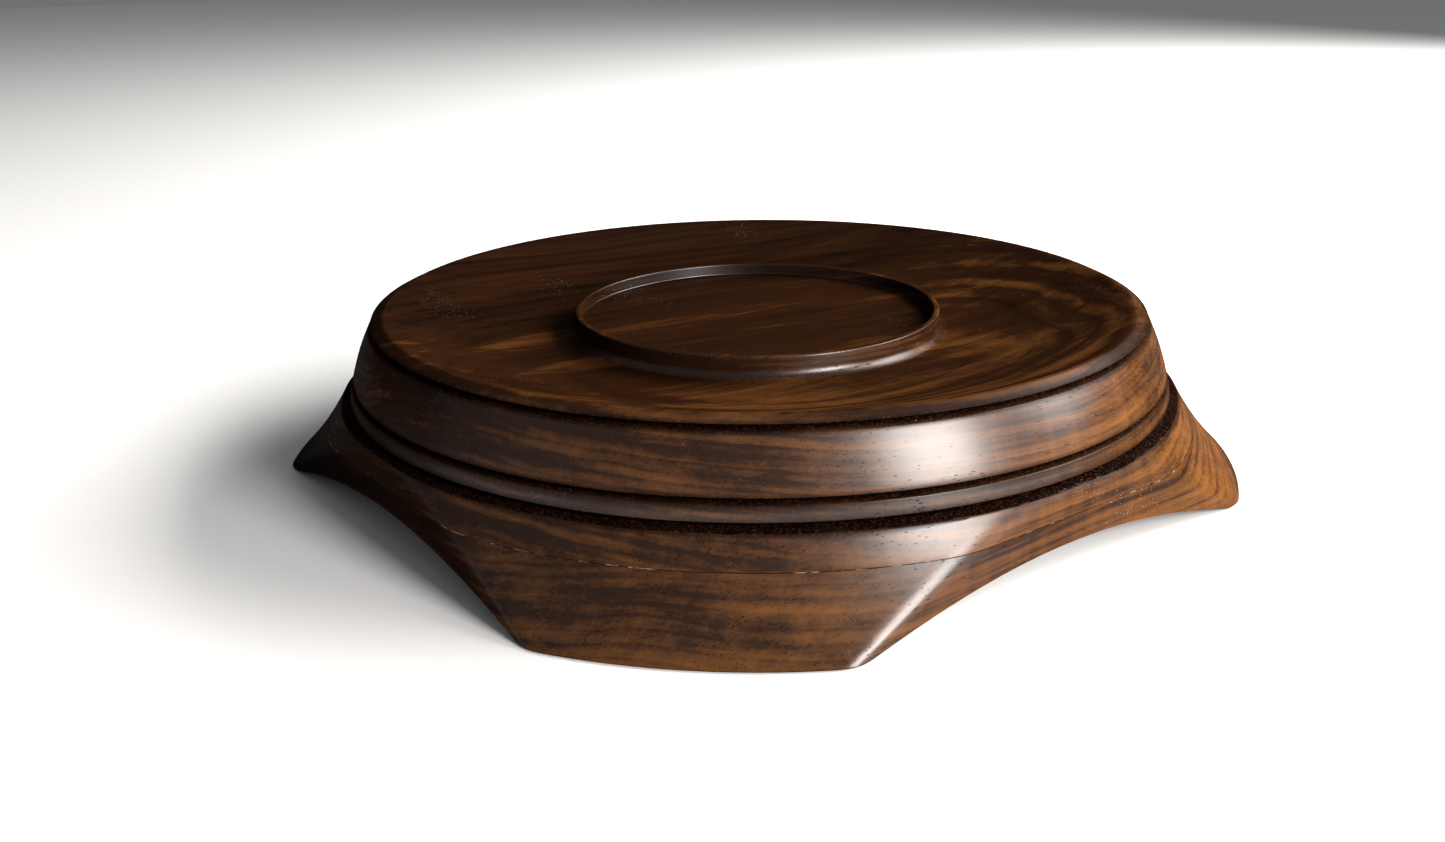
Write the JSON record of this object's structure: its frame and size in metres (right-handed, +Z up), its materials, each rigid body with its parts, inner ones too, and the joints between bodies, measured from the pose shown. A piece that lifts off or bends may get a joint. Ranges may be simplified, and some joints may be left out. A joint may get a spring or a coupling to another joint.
{
  "type": "offering plate",
  "caption": "Turned walnut offering plate lying rim down: round dished foot with raised ring, grooved side, and a flared rim cut square into corners.",
  "frame": {"origin": "centre of the plate, on the surface that the rim's four corners rest on", "axes": "+Z up along the turning axis, towards the dished foot; +X and +Y square to the flats of the blank"},
  "size_m": [0.3048, 0.3048, 0.06],
  "materials": {
    "walnut": "black walnut, hand-rubbed satin oil and wax",
    "glue": "dried wood glue",
    "felt": "burgundy wool felt"
  },
  "bodies": {
    "root": {"base_board": "walnut", "rim_board": "walnut", "glue_line": "glue", "felt_pad": "felt"}
  },
  "joints": []
}
